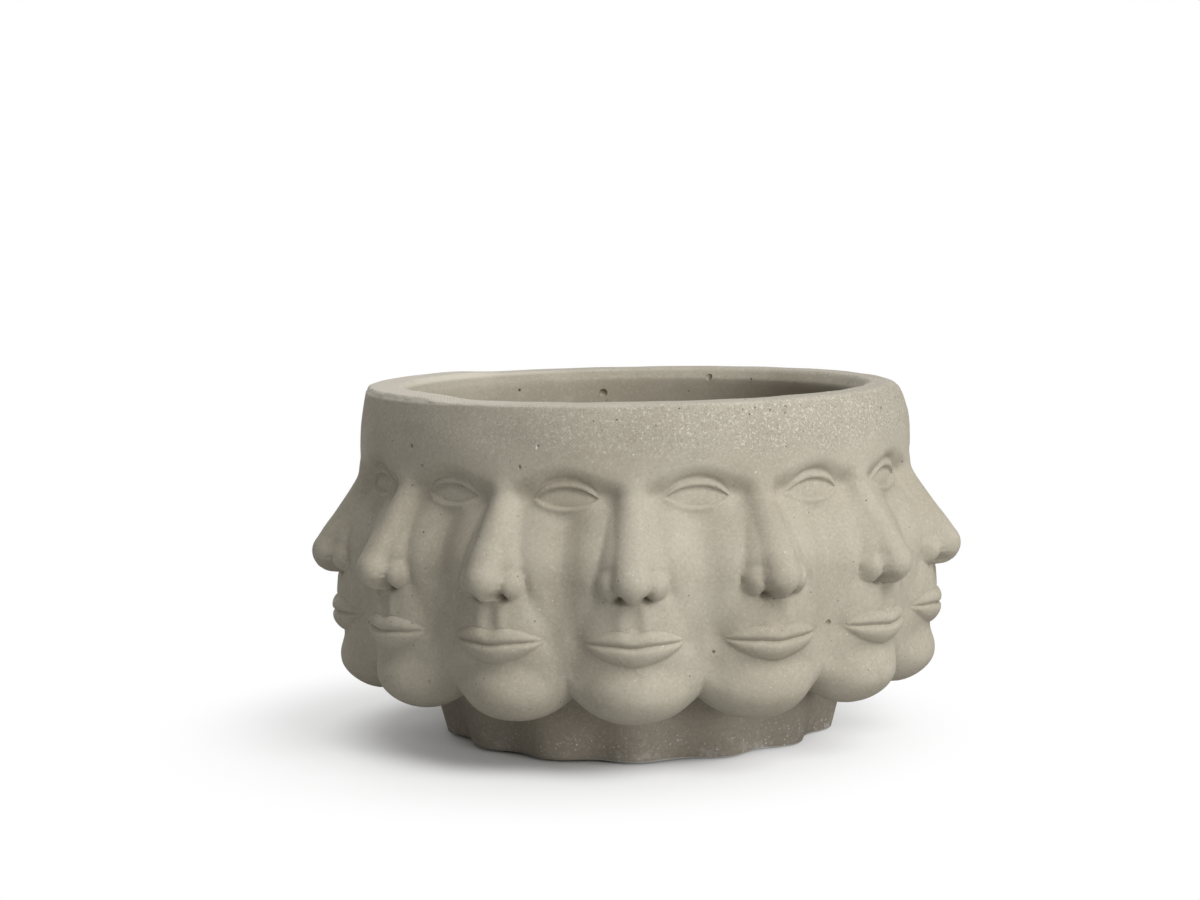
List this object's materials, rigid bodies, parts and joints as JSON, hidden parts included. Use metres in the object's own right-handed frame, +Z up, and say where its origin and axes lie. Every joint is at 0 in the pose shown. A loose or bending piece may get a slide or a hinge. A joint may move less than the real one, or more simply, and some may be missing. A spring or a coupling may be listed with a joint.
{
  "type": "head planter",
  "caption": "Small round concrete planter whose wall is a ring of merged heads sharing eyes, on a narrower lobed foot, with a drain bung and foam pads under it.",
  "frame": {"origin": "on the table, under the pot's own axis, level with the underside of the foam pads", "axes": "+Z up the pot's axis out of its mouth; -Y towards one nose, which faces the viewer of the picture; +X to that viewer's right"},
  "size_m": [0.156, 0.16, 0.085],
  "materials": {
    "concrete": "matte",
    "bung_rubber": "matte",
    "pad_foam": "matte"
  },
  "bodies": {
    "planter": {"planter_body": "concrete", "foot_pad_1": "pad_foam", "foot_pad_2": "pad_foam", "foot_pad_3": "pad_foam", "foot_pad_4": "pad_foam"},
    "bung": {"drain_bung": "bung_rubber"}
  },
  "joints": [
    {"name": "bung_pull", "type": "slide", "parent": "planter", "child": "bung", "axis": [0, 0, 1], "range_m": [0, 0.012]}
  ]
}
